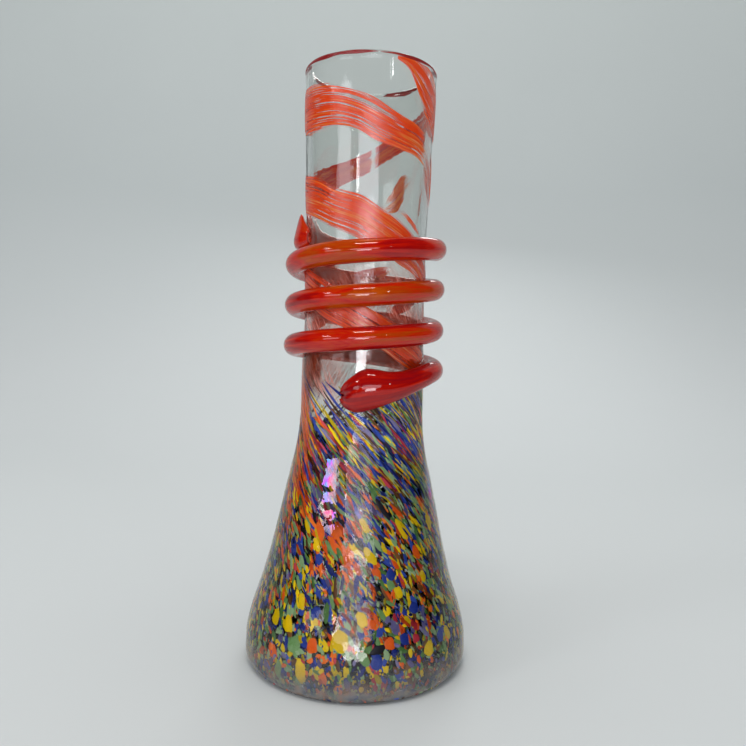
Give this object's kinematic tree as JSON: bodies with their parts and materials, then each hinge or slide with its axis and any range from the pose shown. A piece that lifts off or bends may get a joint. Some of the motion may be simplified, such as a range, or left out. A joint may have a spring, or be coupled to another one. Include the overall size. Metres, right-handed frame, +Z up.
{
  "type": "art glass vase",
  "caption": "Tall glass vase: flared bell base crusted with coloured frit, narrow open neck with twisted orange ribbons and a coiled applied red glass trail.",
  "frame": {"origin": "centre of the foot, on the plane the vase stands on", "axes": "+Z up along the vessel's axis; -Y towards the side where the trail starts (the front); +X to the front's right"},
  "size_m": [0.0842, 0.0844, 0.22],
  "materials": {
    "clear_glass": "clear, polished, with an iridescent surface",
    "red_orange_glass": "deep red-orange, polished, nearly opaque",
    "ribbon_glass": "orange, streaky, translucent, polished",
    "crimson_glass": "crimson, polished",
    "cobalt_glass": "cobalt blue, polished",
    "sage_glass": "sage green, polished",
    "yellow_glass": "yellow, polished",
    "orange_glass": "orange, polished",
    "black_glass": "black, polished",
    "lilac_glass": "lilac, polished",
    "amber_glass": "dark amber, translucent, polished"
  },
  "bodies": {
    "root": {"vessel_wall": "clear_glass", "wrapped_trail": "red_orange_glass", "ribbon_long": "ribbon_glass", "ribbon_upper": "ribbon_glass", "ribbon_lower": "ribbon_glass", "ribbon_shoulder": "ribbon_glass", "ribbon_back": "ribbon_glass", "feather_back": "ribbon_glass", "strand_right": "ribbon_glass", "lip_streak": "crimson_glass", "threads_cobalt": "cobalt_glass", "threads_yellow": "yellow_glass", "threads_amber": "amber_glass", "chips_cobalt": "cobalt_glass", "chips_sage": "sage_glass", "chips_yellow": "yellow_glass", "chips_orange": "orange_glass", "chips_black": "black_glass", "chips_lilac": "lilac_glass", "chips_crimson": "crimson_glass", "chips_amber": "amber_glass"}
  },
  "joints": []
}
